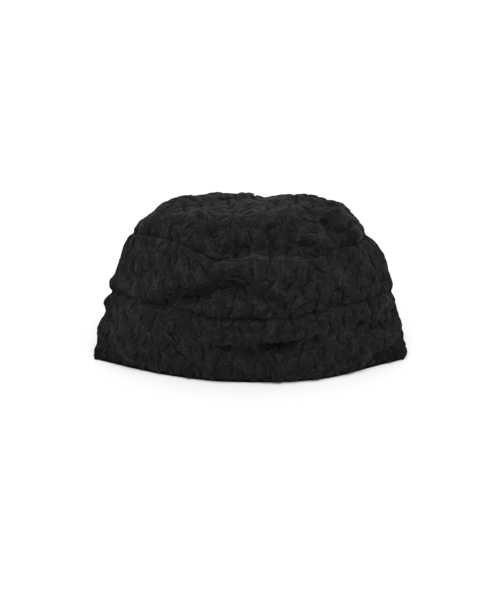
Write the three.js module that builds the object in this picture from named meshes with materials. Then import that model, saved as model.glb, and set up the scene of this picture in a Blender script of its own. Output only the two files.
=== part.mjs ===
// A lace beanie: a soft brimless hat sewn from three pieces of raised floral lace on a black ground
// cloth. A conical lower band carries the hem, an upper band sits on it, and a domed crown tip
// closes the top. The hat stands on its hem. It has been stored flat, so its plan is a pointed oval
// with a soft crease at each side, and its crown has slumped into a dented plateau.
// Millimetres, +Z up, -Y is the front. The origin is the middle of the hem, on the surface below it.
import * as THREE from "three";

// Overall form
const HEM_WIDTH = 253; // side crease to side crease, along X
const HEM_DEPTH = 100; // front to back at the hem, along Y
const HAT_HEIGHT = 131; // surface to the crown's plateau
const SIDE_CREASE = 1.3; // how pointed the pinched sections are: 0 is a plain oval
const NOSE = 0.1; // share of a plain oval that is left, so that the points are rounded

// Cloth
const WALL = 2.4; // ground cloth with its lace
const HEM_WALL = 3.2; // the hem is turned up once
const HEM_TURN = 11; // height of the turned-up hem
const HEM_STEP = 2; // how far below its top edge the turn thins out
const CREASE_WALL = 3; // extra cloth gathered in a side crease
const SEAM_GAP = 0.3; // between two pieces that are sewn to each other
const SEAM_DIP = 1; // how far a seam pulls the outer face in
const SEAM_ROLL = 5; // how wide the cloth rolls over towards a seam

// Mesh
const COLUMNS = 96; // around the hat, with one on each side crease
const COLUMN_CROWDING = 0.12; // how much closer they stand on the front and back than at the sides
const ROW_CROWDING = 0.5; // how much closer rows stand at a piece's edges than in its middle
const LOWER_ROWS = 9;
const UPPER_ROWS = 8;
const CROWN_ROWS = 11;
const SLOPE_STEP = 1e-3; // for slopes taken by difference

// Horizontal sections from the hem to the middle of the crown. up is a share of HAT_HEIGHT, wide of
// half of HEM_WIDTH, front and back of half of HEM_DEPTH, and droop a share of HAT_HEIGHT by which
// the middle of the front and back hangs below the sides. pinch says how pointed the section is.
const SECTIONS = [
  { name: "hem", up: 0, wide: 1, front: 1, back: 1, droop: 0, pinch: 1 },
  { name: "lower_a", up: 0.16, wide: 0.972, front: 1.09, back: 1.09, droop: 0, pinch: 0.95 },
  { name: "lower_b", up: 0.32, wide: 0.925, front: 1.17, back: 1.165, droop: 0.01, pinch: 0.9 },
  { name: "band_seam", up: 0.45, wide: 0.9, front: 1.2, back: 1.2, droop: 0.025, pinch: 0.85 },
  { name: "upper_a", up: 0.57, wide: 0.868, front: 1.22, back: 1.21, droop: 0.03, pinch: 0.75 },
  { name: "upper_b", up: 0.7, wide: 0.815, front: 1.2, back: 1.19, droop: 0.035, pinch: 0.65 },
  { name: "crown_seam", up: 0.815, wide: 0.742, front: 1.15, back: 1.13, droop: 0.045, pinch: 0.55 },
  { name: "crown_a", up: 0.885, wide: 0.675, front: 1.04, back: 1.02, droop: 0.035, pinch: 0.4 },
  { name: "crown_b", up: 0.94, wide: 0.6, front: 0.9, back: 0.88, droop: 0.02, pinch: 0.2 },
  { name: "rim", up: 0.98, wide: 0.5, front: 0.75, back: 0.75, droop: 0.01, pinch: 0.1 },
  { name: "plateau_a", up: 0.99, wide: 0.34, front: 0.5, back: 0.52, droop: 0, pinch: 0 },
  { name: "plateau_b", up: 0.985, wide: 0.17, front: 0.25, back: 0.26, droop: 0, pinch: 0 },
  { name: "middle", up: 0.985, wide: 0, front: 0, back: 0, droop: 0, pinch: 0 },
];

// Dents in the cloth, and bulges where depth is below 0. at is the middle of the dent and reach how
// far it reaches along x, y and z, as shares of half of HEM_WIDTH, half of HEM_DEPTH and HAT_HEIGHT.
// tilt turns it in the front view, in degrees, and steep says how abrupt its sides are. depth is a
// share of HAT_HEIGHT, into the cloth.
const DENTS = [
  { name: "crown_dent", at: [0.17, -0.95, 0.9], reach: [0.44, 0.6, 0.1], tilt: 0, steep: 2, depth: 0.09 },
  { name: "upper_buckle", at: [-0.1, -1.2, 0.6], reach: [0.45, 0.8, 0.06], tilt: -2, steep: 1, depth: 0.035 },
  { name: "buckle_pit", at: [-0.35, -1.1, 0.61], reach: [0.16, 0.8, 0.05], tilt: 0, steep: 1, depth: 0.03 },
  { name: "lower_buckle", at: [0.14, -1.1, 0.24], reach: [0.3, 0.8, 0.06], tilt: 0, steep: 1, depth: 0.045 },
  { name: "right_fold", at: [0.82, -0.4, 0.29], reach: [0.14, 0.6, 0.04], tilt: -15, steep: 1, depth: 0.02 },
  { name: "left_hem", at: [-0.5, -1, 0.05], reach: [0.35, 0.8, 0.15], tilt: 0, steep: 1, depth: 0.025 },
  { name: "left_side", at: [-0.9, 0, 0.62], reach: [0.2, 0.8, 0.1], tilt: 0, steep: 1, depth: 0.025 },
  { name: "right_side", at: [0.9, 0, 0.42], reach: [0.2, 0.8, 0.08], tilt: 0, steep: 1, depth: -0.025 },
  { name: "left_shoulder", at: [-0.48, 0.3, 1.01], reach: [0.13, 0.6, 0.08], tilt: 0, steep: 1, depth: -0.045 },
  { name: "right_shoulder", at: [0.6, 0.3, 0.97], reach: [0.2, 0.6, 0.1], tilt: 0, steep: 1, depth: -0.04 },
];

// Waves in the crown seam, seen from the front: x and long are shares of half of HEM_WIDTH, and
// lift is a share of HAT_HEIGHT by which the cloth has pulled the seam up. They fade out round the
// sides, between the two shares of the hat's depth in WAVES_FADE, which run from 1 at the front.
const SEAM_WAVES = [
  { name: "left", x: -0.5, long: 0.22, lift: 0.075 },
  { name: "right", x: 0.78, long: 0.2, lift: -0.03 },
];
const WAVES_FADE = { none: -0.2, full: 0.4 };

// The sections as curves over the run from the hem to the middle of the crown.
const KEYS = ["up", "wide", "front", "back", "droop", "pinch"];
const places = [0];
SECTIONS.slice(1).forEach((section, i) => {
  const below = SECTIONS[i];
  const rise = (section.up - below.up) * HAT_HEIGHT;
  const across = ((section.wide - below.wide) * HEM_WIDTH) / 2;
  places.push(places[i] + Math.hypot(rise, across));
});
const RUN = places[places.length - 1]; // length of the side profile
const curves = new THREE.CubicInterpolant(
  places.map((place) => place / RUN),
  SECTIONS.flatMap((section) => KEYS.map((key) => section[key])),
  KEYS.length,
);

function sectionAt(along) {
  const values = curves.evaluate(THREE.MathUtils.clamp(along, 0, 1));
  return Object.fromEntries(KEYS.map((key, i) => [key, values[i]]));
}

function placeOf(name) {
  return places[SECTIONS.findIndex((section) => section.name === name)] / RUN;
}

// 0 at the hem, which stays level for the hat to stand on, and 1 from the top of its turn up.
function freed(along) {
  return THREE.MathUtils.smoothstep(along * RUN, 0, HEM_TURN);
}

// Half of the plan outline's depth, from -1 at the front to 1 at the back, against the sine of the
// angle round the hat: an oval, or a pointed oval with a rounded nose where the section is pinched.
function depthShape(sine, pinch) {
  const size = Math.abs(sine);
  return Math.sign(sine) * ((1 - NOSE) * size ** (1 + SIDE_CREASE * pinch) + NOSE * size);
}

// A point of the hat before its dents. inset moves it in from the outer face, through the cloth.
function plainPoint(angle, along, inset) {
  const here = sectionAt(along);
  const next = sectionAt(along + SLOPE_STEP);
  const last = sectionAt(along - SLOPE_STEP);
  const sine = Math.sin(angle);
  const cosine = Math.cos(angle);
  const rise = (next.up - last.up) * HAT_HEIGHT;
  const taper = ((last.wide - next.wide) * HEM_WIDTH) / 2;
  const slope = Math.hypot(rise, taper);
  const sideways = inset * (rise / slope);
  const down = inset * (taper / slope) * freed(along);
  const crease = inset > 0 ? CREASE_WALL * here.pinch : 0;
  const halfWidth = Math.max((here.wide * HEM_WIDTH) / 2 - sideways - crease, 0);
  const depthShare = sine < 0 ? here.front : here.back;
  const halfDepth = Math.max((depthShare * HEM_DEPTH) / 2 - sideways, 0);
  return new THREE.Vector3(
    halfWidth * cosine,
    halfDepth * depthShape(sine, here.pinch),
    (here.up - here.droop * sine * sine) * HAT_HEIGHT - down,
  );
}

function outward(angle, along) {
  const a = Math.min(along, 1 - 2 * SLOPE_STEP);
  const round = plainPoint(angle + SLOPE_STEP, a, 0).sub(plainPoint(angle - SLOPE_STEP, a, 0));
  const up = plainPoint(angle, a + SLOPE_STEP, 0).sub(plainPoint(angle, Math.max(a - SLOPE_STEP, 0), 0));
  return round.cross(up).normalize();
}

function dentDepth(point) {
  return DENTS.reduce((sum, dent) => {
    const turn = THREE.MathUtils.degToRad(dent.tilt);
    const [long, deep, high] = dent.reach;
    const x = point.x - (dent.at[0] * HEM_WIDTH) / 2;
    const y = point.y - (dent.at[1] * HEM_DEPTH) / 2;
    const z = point.z - dent.at[2] * HAT_HEIGHT;
    const u = (x * Math.cos(turn) + z * Math.sin(turn)) / ((long * HEM_WIDTH) / 2);
    const v = y / ((deep * HEM_DEPTH) / 2);
    const w = (z * Math.cos(turn) - x * Math.sin(turn)) / (high * HAT_HEIGHT);
    return sum + dent.depth * HAT_HEIGHT * Math.exp(-((u * u + v * v + w * w) ** dent.steep));
  }, 0);
}

// Where each seam runs at an angle round the hat.
const BAND_SEAM = placeOf("band_seam");
const bandSeam = () => BAND_SEAM;

const CROWN_SEAM = placeOf("crown_seam");
function crownSeam(angle) {
  const across = plainPoint(angle, CROWN_SEAM, 0).x / (HEM_WIDTH / 2);
  const facing = THREE.MathUtils.smoothstep(-Math.sin(angle), WAVES_FADE.none, WAVES_FADE.full);
  const lift = SEAM_WAVES.reduce(
    (sum, wave) => sum + wave.lift * Math.exp(-(((across - wave.x) / wave.long) ** 2)),
    0,
  );
  return CROWN_SEAM + (facing * lift * HAT_HEIGHT) / RUN;
}

// The seams draw the outer face in.
function seamDip(angle, along) {
  const away = Math.min(Math.abs(along - bandSeam()), Math.abs(along - crownSeam(angle))) * RUN;
  return SEAM_DIP * Math.max(1 - away / SEAM_ROLL, 0) ** 2;
}

function clothPoint(angle, along, side) {
  const single = THREE.MathUtils.smoothstep(along * RUN, HEM_TURN - HEM_STEP, HEM_TURN);
  const wall = THREE.MathUtils.lerp(HEM_WALL, WALL, single);
  const inset = side === "inside" ? wall : seamDip(angle, along);
  const dent = dentDepth(plainPoint(angle, along, 0)) * freed(along);
  return plainPoint(angle, along, inset).addScaledVector(outward(angle, along), -dent);
}

// Rings of points from one edge of a piece to the other. from and to give the edges at an angle.
function rings(from, to, rows, side) {
  return Array.from({ length: rows + 1 }, (_, i) => {
    const rowTurn = (2 * Math.PI * i) / rows;
    const share = (rowTurn - ROW_CROWDING * Math.sin(rowTurn)) / (2 * Math.PI);
    return Array.from({ length: COLUMNS }, (__, j) => {
      const turn = (2 * Math.PI * j) / COLUMNS;
      const angle = turn + COLUMN_CROWDING * Math.sin(2 * turn);
      return clothPoint(angle, THREE.MathUtils.lerp(from(angle), to(angle), share), side);
    });
  });
}

// Joins neighbouring rings with faces. A ring of one point is a pole, and a closed strip joins its
// last ring to its first.
function strip(ringList, closed) {
  const positions = ringList.flat().flatMap((p) => [p.x, p.y, p.z]);
  const starts = [];
  ringList.reduce((start, list) => {
    starts.push(start);
    return start + list.length;
  }, 0);
  const faces = [];
  const last = closed ? ringList.length : ringList.length - 1;
  for (let i = 0; i < last; i++) {
    const k = (i + 1) % ringList.length;
    for (let j = 0; j < COLUMNS; j++) {
      const m = (j + 1) % COLUMNS;
      if (ringList[i].length === 1) faces.push(starts[i], starts[k] + m, starts[k] + j);
      else if (ringList[k].length === 1) faces.push(starts[i] + j, starts[i] + m, starts[k]);
      else
        faces.push(
          ...[starts[i] + j, starts[i] + m, starts[k] + m],
          ...[starts[i] + j, starts[k] + m, starts[k] + j],
        );
    }
  }
  return new THREE.BufferGeometry()
    .setAttribute("position", new THREE.Float32BufferAttribute(positions, 3))
    .setIndex(faces);
}

function band(from, to, rows) {
  const outside = rings(from, to, rows, "outside");
  const inside = rings(from, to, rows, "inside").reverse();
  return strip([...outside, ...inside], true);
}

function tip(from, rows) {
  const outside = rings(from, () => 1, rows, "outside");
  const inside = rings(from, () => 1, rows, "inside");
  const poles = [inside, outside].map((list) => [list.pop()[0]]);
  return strip([poles[0], ...inside.reverse(), ...outside, poles[1]], false);
}

const lace = new THREE.MeshStandardMaterial({ color: 0x232323, roughness: 0.9, metalness: 0 });

function sewnPiece(name, geometry) {
  geometry.computeVertexNormals();
  const mesh = new THREE.Mesh(geometry, lace.clone());
  mesh.name = name;
  return mesh;
}

const halfGap = SEAM_GAP / 2 / RUN;
const above = (seam) => (angle) => seam(angle) + halfGap;
const below = (seam) => (angle) => seam(angle) - halfGap;

const hat = new THREE.Group();
hat.add(
  sewnPiece("lower_band", band(() => 0, below(bandSeam), LOWER_ROWS)),
  sewnPiece("upper_band", band(above(bandSeam), below(crownSeam), UPPER_ROWS)),
  sewnPiece("crown_tip", tip(above(crownSeam), CROWN_ROWS)),
);

export default hat;
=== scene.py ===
"""The looks of a soft black lace beanie that stands open on its hem with its crown pressed in."""

import math

import bpy
import numpy as np
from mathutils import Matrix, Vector
from mathutils.bvhtree import BVHTree


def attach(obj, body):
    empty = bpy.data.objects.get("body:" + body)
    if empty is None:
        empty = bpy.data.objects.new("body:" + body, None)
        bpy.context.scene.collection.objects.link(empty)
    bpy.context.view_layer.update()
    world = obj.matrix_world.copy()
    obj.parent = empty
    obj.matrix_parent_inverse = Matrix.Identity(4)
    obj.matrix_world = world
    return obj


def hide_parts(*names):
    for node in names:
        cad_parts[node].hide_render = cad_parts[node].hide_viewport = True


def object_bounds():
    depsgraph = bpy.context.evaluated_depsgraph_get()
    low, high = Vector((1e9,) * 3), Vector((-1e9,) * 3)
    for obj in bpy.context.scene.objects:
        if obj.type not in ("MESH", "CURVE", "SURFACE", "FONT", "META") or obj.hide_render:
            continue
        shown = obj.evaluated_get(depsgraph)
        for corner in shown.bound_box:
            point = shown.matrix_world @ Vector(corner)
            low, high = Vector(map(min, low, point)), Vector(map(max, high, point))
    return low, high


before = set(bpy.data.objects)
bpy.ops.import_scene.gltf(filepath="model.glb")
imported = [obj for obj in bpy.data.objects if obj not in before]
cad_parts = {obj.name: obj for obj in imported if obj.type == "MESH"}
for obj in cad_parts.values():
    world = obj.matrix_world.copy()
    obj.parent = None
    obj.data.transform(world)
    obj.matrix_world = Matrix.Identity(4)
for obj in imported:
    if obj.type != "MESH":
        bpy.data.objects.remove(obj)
cad_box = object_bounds()
MM = 0.001
chance = np.random.default_rng(7)

# The camera is a long lens a little above the hat, as in the photograph. It comes first because each
# fold in the cloth is placed by the pixel of the photograph that shows it.
PICTURE = (500, 600)  # pixels of the photograph
CAMERA_RISE = math.radians(20)
CAMERA_AWAY = 1.4  # metres
CAMERA_AIM = Vector((0.5 * MM, 0, 51 * MM))
PIXEL = 0.791 * MM  # what one pixel spans at the aim
SENSOR = 36  # mm, along the picture's long side

camera_data = bpy.data.cameras.new("camera")
camera_data.sensor_width = SENSOR
camera_data.lens = SENSOR * CAMERA_AWAY / PIXEL / PICTURE[1]
camera = bpy.data.objects.new("camera", camera_data)
camera.location = CAMERA_AIM + CAMERA_AWAY * Vector((0, -math.cos(CAMERA_RISE), math.sin(CAMERA_RISE)))
camera.rotation_euler = (math.pi / 2 - CAMERA_RISE, 0, 0)
bpy.context.scene.collection.objects.link(camera)
bpy.context.scene.camera = camera


def sight_line(pixel):
    """The way from the camera through a pixel of the photograph."""
    across = pixel[0] - PICTURE[0] / 2
    down = pixel[1] - PICTURE[1] / 2
    return (camera.rotation_euler.to_matrix() @ Vector((across, -down, -CAMERA_AWAY / PIXEL))).normalized()


# The whole hat is three rings of lace sewn edge to edge, so it starts as one smooth sheet through the
# outer faces of the three solids. A place on the sheet is a turn round the hat, counted from the right
# crease, and a height, 0 at the hem and 1 in the middle of the crown. Below the spring line the lines
# of sight rise straight up, and above it they fan inwards.
MEASURED_TURNS = 120
MEASURED_HEIGHTS = 44
TURNS = 720
HEIGHTS = 300
SPRING = 0.45  # share of the hat's height
STRAIGHT = 0.42  # share of the heights that lie below the spring line
JUST_ABOVE_HEM = 0.002  # share of the heights
BESIDE = (-2, -1, 0, 1, 2)  # the lines of sight that a slipped one is compared with
FAR_OUT = 4  # half widths from the hat's middle, at which the lines of sight start

half_width, half_depth, hat_height = cad_box[1]
solid_trees = {
    name: BVHTree.FromPolygons(
        [vertex.co for vertex in node.data.vertices],
        [face.vertices for face in node.data.polygons],
    )
    for name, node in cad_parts.items()
}


def outer_face(turn, height):
    """The outermost solid at a place: its depth along a line of sight, its name and that line."""
    angle = 2 * math.pi * turn
    spring = SPRING * hat_height
    fan = max((height - STRAIGHT) / (1 - STRAIGHT), 0) * math.pi / 2
    way = Vector((
        half_width * math.cos(angle) * math.cos(fan),
        half_depth * math.sin(angle) * math.cos(fan),
        (hat_height - spring) * math.sin(fan),
    )).normalized()
    inside = Vector((0, 0, min(height / STRAIGHT, 1) * spring))
    outside = inside + way * FAR_OUT * half_width
    hits = []
    for name, tree in solid_trees.items():
        point, _, _, gap = tree.ray_cast(outside, -way)
        if point is not None:
            hits.append((gap, name))
    gap, name = min(hits)
    return gap, name, outside, way


def smooth_step(value):
    """0 below 0, 1 above 1, and a smooth rise between."""
    value = np.clip(value, 0, 1)
    return value * value * (3 - 2 * value)


def smooth_rows(table, places, wraps):
    """Rows of a table at places between its own rows, on a smooth curve through them."""
    whole = np.floor(places).astype(int)
    part = (places - whole).reshape(-1, *[1] * (table.ndim - 1))
    a, b, c, d = (
        table[(whole + step) % len(table) if wraps else np.clip(whole + step, 0, len(table) - 1)]
        for step in (-1, 0, 1, 2)
    )
    return b + part / 2 * (c - a + part * (2 * a - 5 * b + 4 * c - d + part * (3 * (b - c) + d - a)))


sights = [
    [outer_face(i / MEASURED_TURNS, max(j / MEASURED_HEIGHTS, JUST_ABOVE_HEM)) for i in range(MEASURED_TURNS)]
    for j in range(MEASURED_HEIGHTS + 1)
]
# A line of sight that slips in through a seam's gap takes the depth of the lines beside it.
SLIPPED = 3 * MM
depths = np.array([[sight[0] for sight in row] for row in sights])
beside = np.median([np.roll(depths, step, axis=1) for step in BESIDE], axis=0)
above = np.vstack([depths[1:], depths[-1:]])
below = np.vstack([depths[:1], depths[:-1]])
beside = np.median([beside, above, below], axis=0)
depths = np.where(depths > beside + SLIPPED, beside, depths)
measured = np.array([
    [outside - way * depth for (_, _, outside, way), depth in zip(*row)] for row in zip(sights, depths)
])
measured[0, :, 2] = 0
form = smooth_rows(measured, np.linspace(0, MEASURED_HEIGHTS, HEIGHTS + 1), wraps=False)
form = smooth_rows(form.swapaxes(0, 1), np.arange(TURNS) * MEASURED_TURNS / TURNS, wraps=True).swapaxes(0, 1)


POLE_ROWS = 3  # rows round the middle of the crown, where outward is straight up
NO_SIZE = 1e-12


def outward(sheet):
    """The outward normal at every place of a sheet."""
    round_hat = np.roll(sheet, -1, axis=1) - np.roll(sheet, 1, axis=1)
    up_hat = np.gradient(sheet, axis=0)
    normal = np.cross(round_hat, up_hat)
    size = np.linalg.norm(normal, axis=2, keepdims=True)
    normal = np.where(size > NO_SIZE, normal / np.maximum(size, NO_SIZE), [0, 0, 1])
    normal[-POLE_ROWS:] = [0, 0, 1]
    return normal


def sheet_tree(sheet):
    """A search tree whose face numbers give the row and column of the sheet."""
    rows, columns = sheet.shape[:2]
    number = np.arange(rows * columns).reshape(rows, columns)
    after = np.roll(number, -1, axis=1)
    faces = np.stack([number[:-1], after[:-1], after[1:], number[1:]], axis=2).reshape(-1, 4)
    return BVHTree.FromPolygons(sheet.reshape(-1, 3).tolist(), faces.tolist())


# Two flat seams, sewn from inside, join the three rings. Each runs, as a height at each turn, where
# the outermost solid changes from one ring to the next.
SEAM_TRIES = 300
SEAM_EASED = 3  # times that each seam's line is smoothed
seam_heights = {}
names_up = [
    [outer_face(i / MEASURED_TURNS, (j + 0.5) / SEAM_TRIES)[1] for j in range(SEAM_TRIES)]
    for i in range(MEASURED_TURNS)
]
for upper in ("upper_band", "crown_tip"):
    found = np.array([names.index(upper) / SEAM_TRIES for names in names_up])
    for _ in range(SEAM_EASED):
        found = (np.roll(found, 1) + 2 * found + np.roll(found, -1)) / 4
    seam_heights[upper] = smooth_rows(found, np.arange(TURNS) * MEASURED_TURNS / TURNS, wraps=True)
band_seam = seam_heights["upper_band"]
crown_seam = seam_heights["crown_tip"]

# The soft cloth has taken these folds. Each is named and placed by a pixel of the photograph, with its
# reach along and across in millimetres and its turn in degrees. push raises its middle out of the
# cloth, and tuck raises its upper half and sinks its lower half, as a drooping fold does.
FOLDS = [
    # name, pixel, along, across, turn, push, tuck
    ("bowl_left_wall", (207, 235), 26, 10, 86, 0, 6.5),
    ("bowl_left_floor", (226, 232), 16, 10, 0, -4.0, 0),
    ("bowl_right_wall", (339, 229), 22, 11, -72, 0, 7.0),
    ("bowl_right_hollow", (320, 222), 22, 11, -6, -6.0, 0),
    ("bowl_right_sill", (310, 247), 22, 8, 8, 0, 7.0),
    ("bowl_left_sill", (232, 248), 20, 9, 6, 0, 6.0),
    ("bowl_middle", (258, 228), 12, 9, 0, 1.5, 0),
    ("below_crown_seam", (283, 281), 26, 10, 0, 3.5, 0),
    ("overhang_left", (176, 293), 24, 9, 17, 0, 7.0),
    ("overhang_middle", (202, 286), 18, 9, 12, 0, 5.5),
    ("overhang_peak", (230, 278), 15, 8, -6, 0, 3.5),
    ("overhang_right", (264, 294), 20, 8, -28, 0, 4.0),
    ("overhang_tail", (318, 303), 26, 8, 8, 0, 2.5),
    ("bulge_above_seam", (262, 317), 20, 7, 0, 2.5, 0),
    ("right_pleat", (352, 262), 16, 5, 86, -3.0, 0),
    ("right_end_bulge", (383, 300), 10, 8, 0, 1.5, 0),
    ("left_lower_bulge", (186, 342), 18, 12, 6, 1.2, 0),
    ("lower_tuck", (270, 342), 30, 9, 8, 0, 6.0),
    ("right_lower_bulge", (325, 358), 26, 7, 8, 2.0, 0),
    ("right_tuck", (372, 321), 16, 6, -12, 0, 2.8),
    ("right_tuck_end", (348, 332), 10, 6, 35, 0, 1.5),
    ("right_hem_tuck", (384, 348), 18, 8, 12, 0, 5.0),
    ("left_hem_tuck", (132, 356), 24, 8, -10, 0, 3.5),
    ("left_seam_end", (112, 286), 12, 5, 0, 3.5, 0),
    ("left_lower_end", (109, 318), 12, 16, 0, -4.5, 0),
    ("right_seam_end", (388, 288), 11, 6, 0, 3.5, 0),
    ("right_lower_end", (396, 331), 10, 10, 0, 3.5, 0),
    ("top_right_slope", (330, 203), 16, 10, -10, -3.0, 0),
    ("left_slots", (122, 272), 20, 5, 78, -1.0, 0),
]
FOLD_REACH_IN = 30 * MM  # how far a fold reaches through the hat
TUCK_TURNED = -0.1  # cosine of the turn away from a tuck's middle at which the tuck has ended
TUCK_FULL = 0.6  # and the one down to which it is whole


def crease_beside(sheet):
    """How far back the nearer end's crease lies, at each place of a sheet."""
    right, left = sheet[:, :1, 1], sheet[:, TURNS // 2 : TURNS // 2 + 1, 1]
    return np.where(sheet[..., 0] > 0, right, left)


CREASE_FADE = 12 * MM  # tucks and rolls fade this close to an end's crease
crease_gap = np.abs(form[..., 1] - crease_beside(form))
crease_free = smooth_step(crease_gap / CREASE_FADE)
form_tree = sheet_tree(form)
form_out = outward(form)
push = np.zeros(form.shape[:2])
for name, pixel, along, across, turn, raised, tuck in FOLDS:
    middle, facing, _, _ = form_tree.ray_cast(camera.location, sight_line(pixel))
    level = Vector((0, 0, 1)).cross(facing).normalized()
    rising = facing.cross(level)
    angle = math.radians(turn)
    long_way = level * math.cos(angle) + rising * math.sin(angle)
    high_way = rising * math.cos(angle) - level * math.sin(angle)
    reach = form - np.array(middle)
    out_along = reach @ np.array(long_way) / (along * MM)
    out_across = reach @ np.array(high_way) / (across * MM)
    out_through = reach @ np.array(facing) / FOLD_REACH_IN
    hill = np.exp(-(out_along**2 + out_across**2 + out_through**2))
    facing_alike = smooth_step((form_out @ np.array(facing) - TUCK_TURNED) / (TUCK_FULL - TUCK_TURNED))
    tucked = tuck * out_across * math.sqrt(2 * math.e) * crease_free * facing_alike
    push += hill * (raised + tucked) * MM

# Small slack waves run all over, because the heavy lace hangs unevenly on its net.
WAVES = 40
WAVE_LENGTHS = (18 * MM, 60 * MM)
WAVE_HEIGHT = 0.25 * MM
for _ in range(WAVES):
    way = chance.normal(size=3)
    way *= 2 * math.pi / chance.uniform(*WAVE_LENGTHS) / np.linalg.norm(way)
    push += WAVE_HEIGHT * np.sin(form @ way + chance.uniform(0, 2 * math.pi))

# The hem stays level on the floor. Above it the cloth flares out a little, most of all where the
# photograph shows the lower band swelling forward.
HEM_FREE = 8 * MM  # above the hem, over which the folds fade in
HEM_FLARE = 4.5 * MM
FLARE_WIDTH = 22 * MM
FLARE_AT_ENDS = 0.4  # share of the flare that the creases keep
HEM_SWELL = ((322, 376), 34, 4.0)  # pixel, reach and height in millimetres
steps = np.linalg.norm(np.diff(form, axis=0), axis=2)
run = np.vstack([np.zeros(TURNS), np.cumsum(steps, axis=0)])
push *= np.clip(run / HEM_FREE, 0, 1)
swell_pixel, swell_reach, swell_height = HEM_SWELL
middle = np.array(form_tree.ray_cast(camera.location, sight_line(swell_pixel))[0])
swell = np.exp(-(np.linalg.norm(form - middle, axis=2) / (swell_reach * MM)) ** 2)
flare = (HEM_FLARE + swell_height * MM * swell) * (FLARE_AT_ENDS + (1 - FLARE_AT_ENDS) * crease_free)
push += flare * smooth_step(1 - run / FLARE_WIDTH)


def run_at(heights):
    """The distance from the hem at a height for each turn."""
    row = heights * HEIGHTS
    low = np.floor(row).astype(int)
    return run[low, range(TURNS)] + (row - low) * steps[np.minimum(low, HEIGHTS - 1), range(TURNS)]


band_seam_run = run_at(band_seam)
crown_seam_run = run_at(crown_seam)


def eased(sheet, times):
    """A sheet with each place drawn halfway to the middle of its neighbours, a number of times."""
    for _ in range(times):
        beside = (np.roll(sheet, 1, axis=1) + np.roll(sheet, -1, axis=1)) / 2
        inner = (sheet[:-2] + sheet[2:]) / 2
        sheet = sheet.copy()
        sheet[1:-1] = sheet[1:-1] / 2 + (beside[1:-1] + inner) / 4
    return sheet


NARROWEST = 0.85  # share of its way to the crease line that a point may move


def moved_in(points, normals, depth, crease_line):
    """Points moved in by a depth, and kept on their own side of the crease that runs down each end."""
    move = -normals * np.asarray(depth)[..., None]
    room = NARROWEST * (crease_line - points[..., 1])
    y = np.where(room > 0, np.minimum(move[..., 1], room), np.maximum(move[..., 1], room))
    return points + np.stack([move[..., 0], y, move[..., 2]], axis=-1)


# A seam hardly shows where the cloth lies flat over it: pixel and reach in millimetres.
BAND_FLAT = ((282, 320), 14)
CROWN_FLAT = ((266, 262), 44)
SEAM_LEFT_TO_SEE = 0.2
CROWN_SEAM_DEPTH = 0.8  # share of the band seam's depth


def seam_shown(flat):
    """How deeply a seam is drawn in, for each place of the sheet."""
    pixel, reach = flat
    middle = np.array(form_tree.ray_cast(camera.location, sight_line(pixel))[0])
    gap = np.linalg.norm(form - middle, axis=2) / (reach * MM)
    return 1 - (1 - SEAM_LEFT_TO_SEE) * np.exp(-(gap**4))


band_shown = seam_shown(BAND_FLAT)
crown_shown = CROWN_SEAM_DEPTH * seam_shown(CROWN_FLAT)

# The net that carries the lace lies a little below its outer face. It rolls in at each seam, wide
# above it and narrow below it, and it rolls under at the hem.
LACE_DEPTH = 1.2 * MM
SEAM_ROLL_DEPTH = 2.5 * MM
SEAM_ROLL_ABOVE = 8 * MM
SEAM_ROLL_BELOW = 2.4 * MM
SEAM_FADE = 5 * MM  # from a crease
SEAM_AT_ENDS = 0.1  # share of its depth that a seam keeps at the creases
UNDER_DEPTH = 7 * MM  # how far the hem rolls under, and from how high up
UNDER_WIDTH = 12 * MM
UNDER_AT_ENDS = 0.5  # share of that at the creases
NORMALS_EASED = 10  # times that the normals are smoothed
roll = np.zeros(run.shape)
for seam_run, shown in ((band_seam_run, band_shown), (crown_seam_run, crown_shown)):
    above = (run - seam_run) / SEAM_ROLL_ABOVE
    below = (seam_run - run) / SEAM_ROLL_BELOW
    roll += SEAM_ROLL_DEPTH * smooth_step(1 - np.maximum(above, below)) * shown
roll *= SEAM_AT_ENDS + (1 - SEAM_AT_ENDS) * smooth_step(crease_gap / SEAM_FADE)
under = UNDER_DEPTH * np.clip(1 - run / UNDER_WIDTH, 0, 1) ** 2
roll += under * (UNDER_AT_ENDS + (1 - UNDER_AT_ENDS) * crease_free)
cloth_out = eased(form_out, NORMALS_EASED)
cloth_out /= np.linalg.norm(cloth_out, axis=2, keepdims=True)
ground = moved_in(form, cloth_out, LACE_DEPTH + roll - push, crease_beside(form))
ground[0, :, 2] = 0
ground_out = eased(outward(ground), NORMALS_EASED)
ground_out /= np.linalg.norm(ground_out, axis=2, keepdims=True)
creases = crease_beside(ground)

# The rings of points that make up every piece are spaced evenly round the hem.
COLUMNS = 896
hem_steps = np.linalg.norm(np.roll(form[0], -1, axis=0) - form[0], axis=1)
round_hem = np.concatenate([[0], np.cumsum(hem_steps)])
columns = np.interp(np.arange(COLUMNS) / COLUMNS * round_hem[-1], round_hem, np.arange(TURNS + 1))


def sampled(sheet, rows, columns):
    """A sheet's values between its rows and columns."""
    low = np.clip(np.floor(rows).astype(int), 0, HEIGHTS - 1)
    left = np.floor(columns).astype(int)
    right = (left + 1) % TURNS
    left = left % TURNS
    up = (rows - low)[..., None]
    over = (columns - np.floor(columns))[..., None]
    return (sheet[low, left] * (1 - up) + sheet[low + 1, left] * up) * (1 - over) + (
        sheet[low, right] * (1 - up) + sheet[low + 1, right] * up
    ) * over


def edge_at(heights, columns):
    """An edge's height, or its run up from the hem, at places between the sheet's columns."""
    return np.interp(columns, np.arange(TURNS + 1), np.append(heights, heights[0]))


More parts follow.
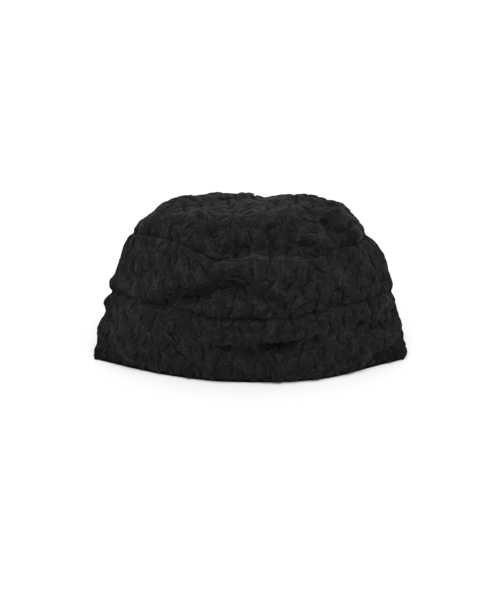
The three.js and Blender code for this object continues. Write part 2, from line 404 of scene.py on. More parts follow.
def colour(hex_code):
    """An sRGB hex colour as linear red, green, blue and alpha."""
    parts = [int(hex_code[i : i + 2], 16) / 255 for i in (1, 3, 5)]
    return tuple(p / 12.92 if p <= 0.04045 else ((p + 0.055) / 1.055) ** 2.4 for p in parts) + (1,)


def new_material(name):
    """A material with nothing but its shader and its output."""
    material = bpy.data.materials.new(name)
    material.use_nodes = True
    return material, material.node_tree.nodes["Principled BSDF"]


def add_node(material, kind, settings=None, inputs=None):
    """A node with its settings, and its inputs as values or as sockets to link from."""
    tree = material.node_tree
    node = tree.nodes.new(kind)
    for key, value in (settings or {}).items():
        setattr(node, key, value)
    for key, value in (inputs or {}).items():
        if isinstance(value, bpy.types.NodeSocket):
            tree.links.new(value, node.inputs[key])
        else:
            node.inputs[key].default_value = value
    return node


# The net is the black tulle that the lace is stitched on. It is knitted of fine matt yarn, which gives
# the eye no gloss, only a dark honeycomb. Its cells are drawn coarser than real ones so that they show.
NET_CELL = 1.6 * MM
NET_RELIEF = 0.3 * MM
net, shader = new_material("black_net")
shader.inputs["Base Color"].default_value = colour("#040404")
shader.inputs["Roughness"].default_value = 0.9
shader.inputs["Specular IOR Level"].default_value = 0.08
where = add_node(net, "ShaderNodeTexCoord")
cells = add_node(
    net,
    "ShaderNodeTexVoronoi",
    {"feature": "DISTANCE_TO_EDGE"},
    {"Vector": where.outputs["Object"], "Scale": 1 / NET_CELL},
)
threads = add_node(
    net,
    "ShaderNodeBump",
    {"invert": True},
    {"Height": cells.outputs["Distance"], "Strength": 0.6, "Distance": NET_RELIEF},
)
net.node_tree.links.new(threads.outputs["Normal"], shader.inputs["Normal"])

# The hem's fold is the same net turned up double. Its colour is painted close to black: painted shade for the
# shade that it lies in.
hem_shade_material, shader = new_material("painted_hem_shade")
shader.inputs["Base Color"].default_value = colour("#020202")
shader.inputs["Roughness"].default_value = 0.9
shader.inputs["Specular IOR Level"].default_value = 0.05

# The lace's motifs are flowers of five or six petals, half flowers and long leaves, embroidered in
# thick matt floss. They overlap all over the net, each with a fine corded rim, and upright slots
# between them leave the net bare.
FLOWER_SPACING = (16 * MM, 26 * MM)
FLOWER_LAYER = (0.35 * MM, 0.95 * MM)  # its height over the net, before the petal's own curl
FLOWER_PETALS = (5, 5, 6)
FLOWER_SHARE = (0.75, 1.0)  # of its sector that a petal fills
FLOWER_UNEVEN = (0.85, 1.15)  # its petals' lengths, as shares of the flower's
FLOWER_TONE = (0.4, 0.4)  # middle and spread of how light it is, where 2 is lightest and -2 darkest
PETAL_TONE = (0, 0.7)  # what each petal adds to that
PETAL_TURN = 0.1  # spread of its angle, in radians
FAN_SPACING = (7 * MM, 10 * MM)
FAN_LAYER = (0.15 * MM, 0.6 * MM)
FAN_PETALS = 4
FAN_STEP = 0.95  # radians from petal to petal
FAN_FIRST = 1.42  # radians from the first petal to the middle
FAN_TURN = 0.6  # spread of its angle, in radians
FAN_HALF_ANGLE = 0.44  # of one petal
FAN_SIZE = 0.9  # as a share of a flower's
FAN_UNEVEN = (0.8, 1.1)
FAN_TONE = (-0.3, 0.7)
LEAF_SPACING = (15 * MM, 28 * MM)
LEAF_LAYER = (0.4 * MM, 0.9 * MM)
LEAF_HALF_ANGLE = 0.2
LEAF_TURN = 0.5  # spread of its angle from upright, in radians
LEAF_TONE = (0, 0.8)
PETAL_LENGTH = (10.5 * MM, 15.5 * MM)
LEAF_LENGTH = (12 * MM, 18 * MM)
PETAL_NOTCH = (-0.04, 0.12)  # shares of its length
PETAL_WAVE = (0.01, 0.04)  # shares of its length
PETAL_LIFT = (0, 0.35 * MM)  # what it adds to its motif's layer
PETAL_CURL = (0.1 * MM, 0.7 * MM)
PETAL_DOME = (0.1 * MM, 0.6 * MM)
PETAL_EDGE = 0.7 * MM  # how far in from its rim a petal reaches its full height
RIM_THICK = 0.7  # share of its height that a petal has at its rim
CURL_LATE = 1.6  # a petal curls up mostly towards its tip
DOME_EARLY = 0.8  # and swells most a little short of its middle
TRIES = 16000  # places tried for each kind of motif
SAME_FACE = 0.2  # least cosine between the normals of a motif and of the cloth that it covers
LIES_LEVEL = 0.2  # sine of the slope below which the cloth counts as level

cell_area = np.linalg.norm(
    np.cross(np.roll(form, -1, axis=1) - form, np.gradient(form, axis=0)), axis=2
)
share = np.cumsum(cell_area.ravel()) / cell_area.sum()


def scattered(spacing_range):
    """Places on the cloth, each at least a spacing away from the ones before it."""
    places = []
    middles = np.empty((0, 3))
    for pick in np.searchsorted(share, chance.random(TRIES)):
        row, column = divmod(int(pick), TURNS)
        spacing = chance.uniform(*spacing_range)
        if len(middles) and np.min(np.sum((middles - ground[row, column]) ** 2, axis=1)) < spacing**2:
            continue
        middles = np.vstack([middles, ground[row, column]])
        places.append((row, column))
    return places


def axes_at(row, column):
    """The point, and the level, rising and outward directions of the cloth at a place."""
    normal = ground_out[row, column]
    level = np.cross([0, 0, 1], normal)
    length = np.linalg.norm(level)
    level = level / length if length > LIES_LEVEL else np.array([1.0, 0, 0])
    return ground[row, column], level, np.cross(normal, level), normal


def petal(place, angle, length, half_angle, layer, tone):
    """One petal's place and shape."""
    point, level, rising, normal = axes_at(*place)
    return {
        "point": point,
        "along": level * math.cos(angle) + rising * math.sin(angle),
        "across": rising * math.cos(angle) - level * math.sin(angle),
        "normal": normal,
        "length": length,
        "half_angle": half_angle,
        "notch": chance.uniform(*PETAL_NOTCH),
        "wave": chance.uniform(*PETAL_WAVE),
        "phase": chance.uniform(0, 2 * math.pi),
        "layer": layer + chance.uniform(*PETAL_LIFT),
        "curl": chance.uniform(*PETAL_CURL),
        "dome": chance.uniform(*PETAL_DOME),
        "tone": tone,
    }


def motifs():
    """All the petals and leaves."""
    made = []
    for place in scattered(FAN_SPACING):
        first = math.pi / 2 * chance.choice([-1, 1]) - FAN_FIRST + chance.normal(0, FAN_TURN)
        size = chance.uniform(*PETAL_LENGTH) * FAN_SIZE
        layer = chance.uniform(*FAN_LAYER)
        tone = chance.normal(*FAN_TONE)
        for k in range(FAN_PETALS):
            length = size * chance.uniform(*FAN_UNEVEN)
            made.append(petal(place, first + k * FAN_STEP, length, FAN_HALF_ANGLE, layer, tone))
    for place in scattered(LEAF_SPACING):
        angle = math.pi / 2 * chance.choice([-1, 1]) + chance.normal(0, LEAF_TURN)
        length = chance.uniform(*LEAF_LENGTH)
        layer = chance.uniform(*LEAF_LAYER)
        made.append(petal(place, angle, length, LEAF_HALF_ANGLE, layer, chance.normal(*LEAF_TONE)))
    for place in scattered(FLOWER_SPACING):
        petals = int(chance.choice(FLOWER_PETALS))
        first = chance.uniform(0, 2 * math.pi)
        layer = chance.uniform(*FLOWER_LAYER)
        size = chance.uniform(*PETAL_LENGTH)
        tone = chance.normal(*FLOWER_TONE)
        for k in range(petals):
            angle = first + 2 * math.pi * k / petals + chance.normal(0, PETAL_TURN)
            half_angle = math.pi / petals * chance.uniform(*FLOWER_SHARE)
            own_tone = tone + chance.normal(*PETAL_TONE)
            length = size * chance.uniform(*FLOWER_UNEVEN)
            made.append(petal(place, angle, length, half_angle, layer, own_tone))
    return made


PETAL_REACH = 1.2  # times its length, the distance from its root within which it is looked for
WAIST = 0.55  # a petal's angle at its root, as a share of its widest
WIDENING = 0.6  # share of a half turn of the sine that widens it, from its root to its tip
TIP_ROUND = 0.34  # share of its length by which its sides are shorter than its middle
TIP_SQUARE = 2.6  # how late that sets in, as a power of the way to a side
NOTCH_WIDTH = 0.25  # in half widths of the petal
FRILLS = 8  # radians of the wave on its rim in half a width
HELD = 1.3  # half widths past which the tip's curve stays as it is


def petal_place(part, points):
    """Where points lie across and along a petal, and how far inside its rim."""
    beside = points - part["point"]
    x = beside @ part["along"]
    y = beside @ part["across"]
    distance = np.hypot(x, y)
    angle = np.arctan2(y, x)
    out = np.clip(distance / part["length"], 0, PETAL_REACH)
    widening = WAIST + (1 - WAIST) * np.sin(out * math.pi * WIDENING)
    across = angle / (part["half_angle"] * widening)
    held = np.clip(across, -HELD, HELD)
    edge = 1 - TIP_ROUND * np.abs(held) ** TIP_SQUARE - part["notch"] * np.exp(-((held / NOTCH_WIDTH) ** 2))
    edge = edge + part["wave"] * np.sin(FRILLS * held + part["phase"])
    along = distance / (part["length"] * edge)
    inside = np.minimum(
        (1 - along) * part["length"] * edge, (1 - np.abs(across)) * part["half_angle"] * widening * distance
    )
    return across, along, inside


SLOT_SPACING = (9.5 * MM, 17 * MM)
SLOT_LENGTH = (4 * MM, 9 * MM)  # from the middle to an end
SLOT_WIDTH = (0.9 * MM, 1.7 * MM)  # from the middle to a side
SLOT_BEND = 0.03 / MM  # most sideways bend, for the square of the distance from its middle
SLOT_LEAN = 0.35  # spread of its angle from upright, in radians
SLOT_EDGE = (0.75, 1.25)  # shares of its width between which the floss begins
SLOT_POINTED = 0.02  # least share of its width at an end
BAR_SPACING = 1.8 * MM
BAR_HEIGHT = 0.6  # share of the floss's height that a bar across a slot has
BAR_SQUARE = 1.5  # how squarely a bar stands up
BARRED_SHARE = 0.12  # of the slots


def slots():
    """All the bare slots."""
    made = []
    for place in scattered(SLOT_SPACING):
        point, level, rising, normal = axes_at(*place)
        angle = math.pi / 2 + chance.normal(0, SLOT_LEAN)
        made.append({
            "point": point,
            "normal": normal,
            "long_way": level * math.cos(angle) + rising * math.sin(angle),
            "wide_way": rising * math.cos(angle) - level * math.sin(angle),
            "length": chance.uniform(*SLOT_LENGTH),
            "width": chance.uniform(*SLOT_WIDTH),
            "barred": chance.random() < BARRED_SHARE,
            "bend": chance.uniform(-1, 1) * SLOT_BEND,
        })
    return made


petals_made = motifs()
slots_made = slots()
BARE = 0.35  # share of the lace's height below which it counts as bare


def laced(points, normals):
    """The lace's height over the net at points, and the number of the petal on top, or -1 for net."""
    height = np.zeros(len(points))
    owner = np.full(len(points), -1)
    for number, part in enumerate(petals_made):
        gap = ((points - part["point"]) ** 2).sum(axis=1)
        facing = normals @ part["normal"] > SAME_FACE
        near = np.flatnonzero((gap < (PETAL_REACH * part["length"]) ** 2) & facing)
        across, along, inside = petal_place(part, points[near])
        up = np.clip(along, 0, 1)
        own = part["layer"] + part["curl"] * up**CURL_LATE
        own = own + part["dome"] * (1 - np.clip(across, -1, 1) ** 2) * np.sin(math.pi * up**DOME_EARLY)
        own = own * (RIM_THICK + (1 - RIM_THICK) * smooth_step(inside / PETAL_EDGE))
        on_top = (inside > 0) & (own > height[near])
        height[near[on_top]] = own[on_top]
        owner[near[on_top]] = number
    for slot in slots_made:
        gap = ((points - slot["point"]) ** 2).sum(axis=1)
        facing = normals @ slot["normal"] > SAME_FACE
        near = np.flatnonzero((gap < (PETAL_REACH * slot["length"]) ** 2) & facing)
        beside = points[near] - slot["point"]
        along = beside @ slot["long_way"]
        across = beside @ slot["wide_way"] - slot["bend"] * along * along
        half_wide = slot["width"] * np.maximum(1 - (along / slot["length"]) ** 2, SLOT_POINTED)
        share_out = np.abs(across) / half_wide
        kept = smooth_step((share_out - SLOT_EDGE[0]) / (SLOT_EDGE[1] - SLOT_EDGE[0]))
        if slot["barred"]:
            bars = smooth_step(BAR_SQUARE * np.sin(2 * math.pi * along / BAR_SPACING))
            kept = np.maximum(kept, BAR_HEIGHT * bars)
        height[near] *= kept
        owner[near[kept < BARE]] = -1
    return height, owner


# The floss itself has small hollows and swellings.
CRUMPLES = 60
CRUMPLE_LENGTHS = (3 * MM, 12 * MM)
CRUMPLE_STEEPNESS = 0.005  # height for length
crumple_ways = chance.normal(size=(CRUMPLES, 3))
crumple_lengths = chance.uniform(*CRUMPLE_LENGTHS, CRUMPLES)
crumple_ways *= (2 * math.pi / crumple_lengths / np.linalg.norm(crumple_ways, axis=1))[:, None]
crumple_starts = chance.uniform(0, 2 * math.pi, CRUMPLES)

# The floss is a thick spun rayon thread, laid side by side in each petal and raised in a corded rim.
# It is black and matt, and it gives the eye a soft grey bloom and fine veins. Its rims are painted lighter,
# a painted highlight where the cord catches the light, and in patches the cord and that highlight fade out.
# The veins and loops are drawn coarser than the real threads so that they show.
VEINS = 5  # raised threads across a petal
VEIN_HEIGHT = 0.55  # as a share of the rim's
LOOP_HEIGHT = 2.0
FLOSS_LOOP = 1.5 * MM  # size of the small hollows that its loops leave
FLOSS_RELIEF = 0.3 * MM
RIM_PATCH = 6 * MM  # size of the patches where the rims and their painted highlight fade
MOTTLE = 3 * MM  # size of the patches of lighter and darker floss
MOTTLE_SHARE = 1.6  # what it adds to the body's share of the lighter colour
PAINTED_ROOT_SHADE = 0.9  # what a petal's tip adds to it: painted shade, darker at the root where the petal dips under its neighbours
TONE_RANGE = (-2, 2)  # from the darkest petal to the lightest
BODY_RANGE = (0.9, 2.6)  # sums of these shares that are all dark and all light
RIM_BAND = (0.935, 0.975)  # shares of the way out to a petal's edge between which its rim begins
RIM_OUTER = (0.45, 0.75)  # shares of its length between which the rim begins to show
RIM_FADE = (0.35, 0.6)  # between these values of the patch noise, the rim and its painted highlight go from faded to whole
RIM_FADED_SHARE = 0.15  # share of the rim and its painted highlight that a faded patch keeps
PAST_EDGE = (1.0, 1.08)  # beyond a petal's edge lies its thin side, painted near black as shade
floss, shader = new_material("black_floss")
shader.inputs["Roughness"].default_value = 0.8
shader.inputs["Specular IOR Level"].default_value = 0.05
shader.inputs["Sheen Weight"].default_value = 0.035
shader.inputs["Sheen Roughness"].default_value = 0.3
petal_map = add_node(floss, "ShaderNodeUVMap", {"uv_map": "petal"})
parts = add_node(floss, "ShaderNodeSeparateXYZ", inputs={"Vector": petal_map.outputs["UV"]})
sideways = add_node(floss, "ShaderNodeMath", {"operation": "ABSOLUTE"}, {0: parts.outputs["X"]})
outermost = add_node(
    floss, "ShaderNodeMath", {"operation": "MAXIMUM"}, {0: sideways.outputs["Value"], 1: parts.outputs["Y"]}
)
rim_band = add_node(
    floss,
    "ShaderNodeMapRange",
    {"interpolation_type": "SMOOTHSTEP"},
    {"Value": outermost.outputs["Value"], "From Min": RIM_BAND[0], "From Max": RIM_BAND[1]},
)
outer_half = add_node(
    floss,
    "ShaderNodeMapRange",
    {"interpolation_type": "SMOOTHSTEP"},
    {"Value": parts.outputs["Y"], "From Min": RIM_OUTER[0], "From Max": RIM_OUTER[1]},
)
outer_rim = add_node(
    floss,
    "ShaderNodeMath",
    {"operation": "MULTIPLY"},
    {0: rim_band.outputs["Result"], 1: outer_half.outputs["Result"]},
)
where = add_node(floss, "ShaderNodeTexCoord")
# Patches where the rims' cord and painted highlight fade out.
rim_patches = add_node(
    floss,
    "ShaderNodeTexNoise",
    inputs={"Vector": where.outputs["Object"], "Scale": 1 / RIM_PATCH, "Detail": 2},
)
rim_patch_share = add_node(
    floss,
    "ShaderNodeMapRange",
    {"interpolation_type": "SMOOTHSTEP"},
    {"Value": rim_patches.outputs["Fac"], "From Min": RIM_FADE[0], "From Max": RIM_FADE[1], "To Min": RIM_FADED_SHARE},
)
rim_cord_and_highlight = add_node(
    floss,
    "ShaderNodeMath",
    {"operation": "MULTIPLY"},
    {0: outer_rim.outputs["Value"], 1: rim_patch_share.outputs["Result"]},
)
# Painted shade on the thin side beyond each petal's edge.
painted_side_shade = add_node(
    floss,
    "ShaderNodeMapRange",
    {"interpolation_type": "SMOOTHSTEP"},
    {"Value": outermost.outputs["Value"], "From Min": PAST_EDGE[0], "From Max": PAST_EDGE[1]},
)
tone_value = add_node(floss, "ShaderNodeAttribute", {"attribute_name": "tone"})
tone_share = add_node(
    floss,
    "ShaderNodeMapRange",
    inputs={"Value": tone_value.outputs["Fac"], "From Min": TONE_RANGE[0], "From Max": TONE_RANGE[1]},
)
# Painted shade: each petal is painted darker towards its root and lighter towards its tip.
root_shade_share = add_node(
    floss,
    "ShaderNodeMath",
    {"operation": "MULTIPLY_ADD"},
    {0: parts.outputs["Y"], 1: PAINTED_ROOT_SHADE, 2: tone_share.outputs["Result"]},
)
mottle = add_node(
    floss,
    "ShaderNodeTexNoise",
    inputs={"Vector": where.outputs["Object"], "Scale": 1 / MOTTLE, "Detail": 3},
)
body_share = add_node(
    floss,
    "ShaderNodeMath",
    {"operation": "MULTIPLY_ADD"},
    {0: mottle.outputs["Fac"], 1: MOTTLE_SHARE, 2: root_shade_share.outputs["Value"]},
)
body_mix = add_node(
    floss,
    "ShaderNodeMapRange",
    inputs={"Value": body_share.outputs["Value"], "From Min": BODY_RANGE[0], "From Max": BODY_RANGE[1]},
)
body_colour = add_node(
    floss,
    "ShaderNodeMix",
    {"data_type": "RGBA"},
    {"Factor": body_mix.outputs["Result"], "A": colour("#050505"), "B": colour("#131313")},
)
# Painted highlight: the rim is painted lighter than the body, for the cord catching the light.
rim_highlight_colour = add_node(
    floss,
    "ShaderNodeMix",
    {"data_type": "RGBA"},
    {"Factor": rim_cord_and_highlight.outputs["Value"], "A": body_colour.outputs["Result"], "B": colour("#1c1c1c")},
)
# Painted shade: the thin side is mixed to near black.
outer_colour = add_node(
    floss,
    "ShaderNodeMix",
    {"data_type": "RGBA"},
    {"Factor": painted_side_shade.outputs["Result"], "A": rim_highlight_colour.outputs["Result"], "B": colour("#020202")},
)
# Painted shade: the shade attribute mixes the floss towards near black.
shade_value = add_node(floss, "ShaderNodeAttribute", {"attribute_name": "shade"})
shaded_colour = add_node(
    floss,
    "ShaderNodeMix",
    {"data_type": "RGBA"},
    {"Factor": shade_value.outputs["Fac"], "A": outer_colour.outputs["Result"], "B": colour("#020202")},
)
floss.node_tree.links.new(shaded_colour.outputs["Result"], shader.inputs["Base Color"])
vein_turn = add_node(
    floss,
    "ShaderNodeMath",
    {"operation": "MULTIPLY"},
    {0: parts.outputs["X"], 1: math.pi * VEINS},
)
veins = add_node(floss, "ShaderNodeMath", {"operation": "COSINE"}, {0: vein_turn.outputs["Value"]})
veined = add_node(
    floss,
    "ShaderNodeMath",
    {"operation": "MULTIPLY_ADD"},
    {0: veins.outputs["Value"], 1: VEIN_HEIGHT, 2: rim_cord_and_highlight.outputs["Value"]},
)
loops = add_node(
    floss,
    "ShaderNodeTexNoise",
    inputs={"Vector": where.outputs["Object"], "Scale": 1 / FLOSS_LOOP, "Detail": 2},
)
relief = add_node(
    floss,
    "ShaderNodeMath",
    {"operation": "MULTIPLY_ADD"},
    {0: loops.outputs["Fac"], 1: LOOP_HEIGHT, 2: veined.outputs["Value"]},
)
threads = add_node(
    floss,
    "ShaderNodeBump",
    inputs={"Height": relief.outputs["Value"], "Strength": 1.0, "Distance": FLOSS_RELIEF},
)
floss.node_tree.links.new(threads.outputs["Normal"], shader.inputs["Normal"])

# Each panel is one closed shell: the lace outside, the net's plain face inside, and the cut edges
# between them. The seams press the lace flat. Above each seam, near the hem and in the hem's corners
# the floss is painted darker: painted shade for where the lace rolls into its own shade.
CLOTH = 1.0 * MM  # from the net's outer face to its inner one
SEAM_SLIT = 0.01 * MM  # half the gap that is left between two panels
SEAM_FLAT = 2.6 * MM  # how far from a seam the sewing presses the lace
SEAM_PRESSED = 0.3  # share of its height that the lace keeps in a seam
SEAM_SHADE = 4 * MM  # how far above a seam the pressed floss is darker
SEAM_DARK = 0.45  # share of its colour that it loses there
HEM_SHADE = 30 * MM  # how far above the hem its floss is darker
HEM_DARK = 0.4
CORNER_SHADE = 36 * MM  # how far above the hem its corner at each crease is darker
CORNER_WIDE = 26 * MM  # and how far from the crease
CORNER_DARK = 0.4
END_PRESSED = 0.55  # share of its height that the lace keeps on an end's crease
HEM_BARE = (1.5 * MM, 6 * MM)  # how far over the hem's fold the lace's scalloped edge ends
SCALLOP_ROUND = (37, 61, 97)  # waves of the scalloped edge, round the hat
HEM_TURN = 11 * MM  # height of the turned-up edge inside
HEM_ROLL = 1.6 * MM  # radius of the hem's fold
HEM_FOLD_RINGS = 8  # steps round the fold
TURN_RINGS = (1, 0.75, 0.5, 0.25, 0)  # rings of the turned-up edge, as shares of its height
INSIDE_RINGS = 12
CROWN_INSIDE_RINGS = 20
slit = SEAM_SLIT / run[-1].max()
hem_edge = np.zeros(TURNS)
crown_middle = np.ones(TURNS)
IN_FLOSS, IN_NET, IN_PAINTED_SHADE = range(3)  # the order of a piece's materials


def add_mesh(name, points, faces, materials):
    """A new piece, with its materials, fixed to the hat."""
    mesh = bpy.data.meshes.new(name)
    mesh.from_pydata(points, [], faces)
    mesh.polygons.foreach_set("use_smooth", [True] * len(mesh.polygons))
    for material in materials:
        mesh.materials.append(material)
    piece = bpy.data.objects.new(name, mesh)
    bpy.context.scene.collection.objects.link(piece)
    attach(piece, "root")
    return piece


def ring_pairs(counts, closed):
    """Faces between neighbouring rings of points. A ring may have half as many points as the last."""
    first = np.concatenate([[0], np.cumsum(counts)])
    faces = []
    pairs = list(zip(range(len(counts) - 1), range(1, len(counts))))
    if closed:
        pairs.append((len(counts) - 1, 0))
    for lower, upper in pairs:
        a = first[lower] + np.arange(counts[lower])
        b = first[upper] + np.arange(counts[upper])
        a_next, b_next = np.roll(a, -1), np.roll(b, -1)
        if len(a) == len(b):
            faces += np.stack([a, a_next, b_next, b], axis=1).tolist()
        else:
            faces += np.stack([a[::2], a[1::2], b], axis=1).tolist()
            faces += np.stack([a[1::2], b_next, b], axis=1).tolist()
            faces += np.stack([a[1::2], a_next[1::2], b_next], axis=1).tolist()
    return faces


def ring_size(share, halvings):
    """How many points the ring has that lies a share of the way up a piece."""
    return COLUMNS // 2 ** sum(share > at for at in halvings)


def rings_at(low, high, shares, counts):
    """The sheet's row and column of each point of some rings between a piece's edges."""
    at_rows, at_columns = [], []
    for share, count in zip(shares, counts):
        places = columns[:: COLUMNS // count]
        edge_low, edge_high = edge_at(low, places), edge_at(high, places)
        at_rows.append((edge_low + (edge_high - edge_low) * share) * HEIGHTS)
        at_columns.append(places)
    return np.concatenate(at_rows), np.concatenate(at_columns)


def value_at(sheet, rows, columns):
    """A sheet's values between its rows and columns, where it holds one number for each place."""
    return sampled(sheet[..., None], rows, columns)[:, 0]


def inner_ring(low, high, share, depth, count=COLUMNS):
    """A ring of points inside a piece, set in from the ground by a depth."""
    at_rows, at_columns = rings_at(low, high, [share], [count])
    points = sampled(ground, at_rows, at_columns)
    normals = sampled(ground_out, at_rows, at_columns)
    return moved_in(points, normals, depth, value_at(creases, at_rows, at_columns))


def hem_rings(low, high, lace_height):
    """The lower band's inside: down to its turned-up edge, down that edge, and round the hem's fold."""
    turn_top = HEM_TURN / run[-1]
    rings = [inner_ring(turn_top, high, share, CLOTH) for share in np.linspace(1, 0, INSIDE_RINGS)]
    rings += [inner_ring(low, turn_top, share, 2 * HEM_ROLL) for share in TURN_RINGS]
    at_rows = edge_at(low, columns) * HEIGHTS
    first = sampled(ground, at_rows, columns)
    first_out = sampled(ground_out, at_rows, columns)
    first_crease = value_at(creases, at_rows, columns)
    for k in range(1, HEM_FOLD_RINGS):
        angle = math.pi * k / HEM_FOLD_RINGS
        depth = HEM_ROLL * (1 + math.cos(angle)) - lace_height * (1 - math.cos(angle)) / 2
        ring = moved_in(first, first_out, depth, first_crease)
        ring[:, 2] = HEM_ROLL * (1 - math.sin(angle))
        rings.append(ring)
    return rings


def crown_cap(low, high, counts, top_share, halvings, top_height):
    """The crown's second cap, its two middle points, and the faces of both caps and the edge between."""
    shares = np.linspace(0, top_share, CROWN_INSIDE_RINGS)
    inner_counts = [ring_size(share, halvings) for share in shares]
    rings = [inner_ring(low, high, share, CLOTH, count) for share, count in zip(shares, inner_counts)]
    middle = ground[-1].mean(axis=0)
    rings.append(np.array([middle + [0, 0, top_height], middle - [0, 0, CLOTH]]))

    inner = sum(counts)
    total = inner + sum(inner_counts)
    faces = ring_pairs(counts, closed=False)
    faces += [tuple(inner + v for v in reversed(face)) for face in ring_pairs(inner_counts, closed=False)]
    for k in range(COLUMNS):
        after = (k + 1) % COLUMNS
        faces.append((inner + k, inner + after, after, k))
    last_outer = inner - counts[-1]
    last_inner = total - inner_counts[-1]
    for k in range(counts[-1]):
        after = (k + 1) % counts[-1]
        faces.append((last_outer + k, last_outer + after, total))
        faces.append((last_inner + after, last_inner + k, total + 1))
    return rings, faces


def mark_petals(mesh, points, owners, heights):
    """Give each face the petal of its highest corner, and its place on that petal as its UV.

    X is the place across the petal, from -1 to 1, and Y along it, from 0 at its root to 1 at its rim.
    """
    corner = np.zeros(len(mesh.loops), int)
    mesh.loops.foreach_get("vertex_index", corner)
    sizes = np.zeros(len(mesh.polygons), int)
    mesh.polygons.foreach_get("loop_total", sizes)
    starts = np.concatenate([[0], np.cumsum(sizes)[:-1]])
    face_of = np.repeat(np.arange(len(sizes)), sizes)
    corner_height = heights[corner]
    is_peak = corner_height >= np.maximum.reduceat(corner_height, starts)[face_of]
    face_owner = np.full(len(sizes), -1)
    face_owner[face_of[is_peak][::-1]] = owners[corner[is_peak]][::-1]
    uv = np.zeros((len(corner), 2))
    corner_owner = face_owner[face_of]
    order = np.argsort(corner_owner, kind="stable")
    bounds = np.searchsorted(corner_owner[order], np.arange(len(petals_made) + 1))
    for number, part in enumerate(petals_made):
        own = order[bounds[number] : bounds[number + 1]]
        if len(own):
            across, along, _ = petal_place(part, points[corner[own]])
            uv[own] = np.stack([across, along], axis=1)
    mesh.uv_layers.new(name="petal").data.foreach_set("uv", uv.ravel())
    return face_owner, corner, starts


def build_piece(name, low, high, rows, low_shown=None, high_shown=None, halvings=(), hem=False):
    """A piece of the hat as one closed mesh: its outer lace face, its inside and what joins them."""
    fractions = np.arange(rows + 1) / rows
    counts = [ring_size(share, halvings) for share in fractions]
    low_run, high_run = run_at(low), run_at(high)
    if hem:
        low = HEM_ROLL / run[-1]
    top_open = high.min() < 1
    if not top_open:
        fractions, counts = fractions[:-1], counts[:-1]
    at_rows, at_columns = rings_at(low, high, fractions, counts)
    points = sampled(ground, at_rows, at_columns)
    normals = sampled(ground_out, at_rows, at_columns)
    places_run = value_at(run, at_rows, at_columns)
    height, owner = laced(points, normals)

    # The sewing presses the lace, and painted shade darkens the floss above each seam, near the hem and its
    # corners.
    end_gap = value_at(crease_gap, at_rows, at_columns)
    corner = (1 - smooth_step(places_run / CORNER_SHADE)) * (1 - smooth_step(end_gap / CORNER_WIDE))
    shade = HEM_DARK * (1 - smooth_step(places_run / HEM_SHADE)) + CORNER_DARK * corner
    sewn = np.zeros(len(points))
    if low_shown is not None:
        above_seam = places_run - edge_at(low_run, at_columns)
        low_seen = value_at(low_shown, at_rows, at_columns)
        sewn += low_seen * (1 - smooth_step(above_seam / SEAM_FLAT))
        shade += SEAM_DARK * low_seen * (1 - smooth_step(above_seam / SEAM_SHADE))
    if high_shown is not None:
        below_seam = edge_at(high_run, at_columns) - places_run
        high_seen = value_at(high_shown, at_rows, at_columns)
        sewn += high_seen * (1 - smooth_step(below_seam / SEAM_FLAT))
    height = height * (1 - (1 - SEAM_PRESSED) * sewn)
    end_free = value_at(crease_free, at_rows, at_columns)
    height = height * (END_PRESSED + (1 - END_PRESSED) * end_free)
    hem_fold = np.zeros(len(points), bool)
    if hem:
        turn = 2 * math.pi * at_columns / TURNS
        scallop = np.mean([np.sin(turn * count + count) for count in SCALLOP_ROUND], axis=0)
        edge = HEM_BARE[0] + (HEM_BARE[1] - HEM_BARE[0]) * (0.5 + 0.5 * scallop)
        kept = smooth_step((places_run - edge) / PETAL_EDGE)
        height = height * kept
        hem_fold = kept < BARE
        owner[hem_fold] = -1
    waves = np.sin(points @ crumple_ways.T + crumple_starts) @ crumple_lengths * CRUMPLE_STEEPNESS
    waves = waves * (1 - sewn) * smooth_step(places_run / UNDER_WIDTH)
    outer = points + normals * (height + waves)[:, None]

    if hem:
        inside = hem_rings(low, high, height[:COLUMNS])
    elif top_open:
        inside = [inner_ring(low, high, share, CLOTH) for share in np.linspace(1, 0, INSIDE_RINGS)]
    else:
        top_height = height[-counts[-1] :].mean()
        inside, faces = crown_cap(low, high, counts, fractions[-1], halvings, top_height)
    if top_open:
        faces = ring_pairs(counts + [COLUMNS] * len(inside), closed=True)
    all_points = np.vstack([outer, *inside])
    piece = add_mesh(name + "_lace", all_points, faces, [floss, net, hem_shade_material])

    mesh = piece.data
    rest = len(all_points) - len(outer)
    owners = np.append(owner, np.full(rest, -1))
    heights = np.append(height, np.full(rest, -1.0))
    tones = np.array([part["tone"] for part in petals_made] + [0.0])[owners]
    mesh.attributes.new("tone", "FLOAT", "POINT").data.foreach_set("value", tones)
    shades = np.append(shade, np.zeros(rest))
    mesh.attributes.new("shade", "FLOAT", "POINT").data.foreach_set("value", shades)
    flat = np.vstack([points, *inside])
    face_owner, corner, starts = mark_petals(mesh, flat, owners, heights)
    material = np.where(face_owner < 0, IN_NET, IN_FLOSS)
    # Painted shade: the bare net at the hem's edge takes the near-black material.
    folded = np.append(hem_fold, np.zeros(rest, bool))
    material[np.logical_and.reduceat(folded[corner], starts)] = IN_PAINTED_SHADE
    mesh.polygons.foreach_set("material_index", material)
    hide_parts(name)


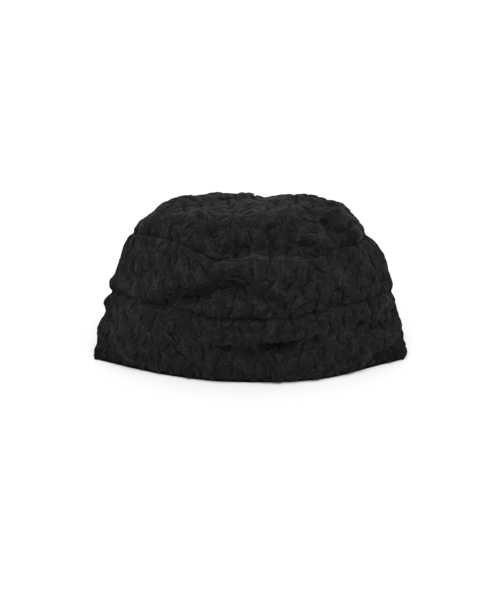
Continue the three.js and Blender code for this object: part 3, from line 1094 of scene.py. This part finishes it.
# The lower band is a ring of lace, sewn to the upper band along its top. Its lower edge is turned up
# once inside as the hem, and the whole hat stands on that fold.
LOWER_ROWS = 84
build_piece("lower_band", hem_edge, band_seam - slit, LOWER_ROWS, high_shown=band_shown, hem=True)

# The upper band is a second ring of the same lace. It is slack, so it droops over the seam below it in
# one long fold on the left of the front.
UPPER_ROWS = 84
build_piece(
    "upper_band",
    band_seam + slit,
    crown_seam - slit,
    UPPER_ROWS,
    low_shown=band_shown,
    high_shown=crown_shown,
)

# The crown tip is a round of the same lace that closes the top. It is pressed into a shallow bowl with
# a wall at each side. Its rings of points thin out towards the middle.
CROWN_ROWS = 120
CROWN_HALVINGS = (0.55, 0.8, 0.93)  # shares of the way up at which a ring has half the points
build_piece(
    "crown_tip",
    crown_seam + slit,
    crown_middle,
    CROWN_ROWS,
    low_shown=crown_shown,
    halvings=CROWN_HALVINGS,
)

# The floor is plain white paper, wide enough to reach the horizon. It is matt and catches only the
# hat's soft shadow.
FLOOR_SIZE = 60  # metres
bpy.ops.mesh.primitive_plane_add(size=FLOOR_SIZE)
floor = bpy.context.object
floor.name = "floor"
paper, shader = new_material("white_paper")
shader.inputs["Base Color"].default_value = colour("#bababa")
shader.inputs["Roughness"].default_value = 1
floor.data.materials.append(paper)

# The light is one wide lamp, high in front of the hat, in an evenly white studio.
LAMP_TILT = math.radians(47)  # from straight above, towards the camera
LAMP_SPREAD = math.radians(50)  # how wide it looks from the hat
LAMP_STRENGTH = 5.9
sun_data = bpy.data.lights.new("sun", "SUN")
sun_data.energy = LAMP_STRENGTH
sun_data.angle = LAMP_SPREAD
sun = bpy.data.objects.new("sun", sun_data)
sun.rotation_euler = (LAMP_TILT, 0, 0)
bpy.context.scene.collection.objects.link(sun)

world = bpy.data.worlds.new("world")
world.use_nodes = True
world.node_tree.nodes["Background"].inputs["Color"].default_value = colour("#ffffff")
world.node_tree.nodes["Background"].inputs["Strength"].default_value = 1.0
bpy.context.scene.world = world
bpy.context.scene.view_settings.view_transform = "Standard"
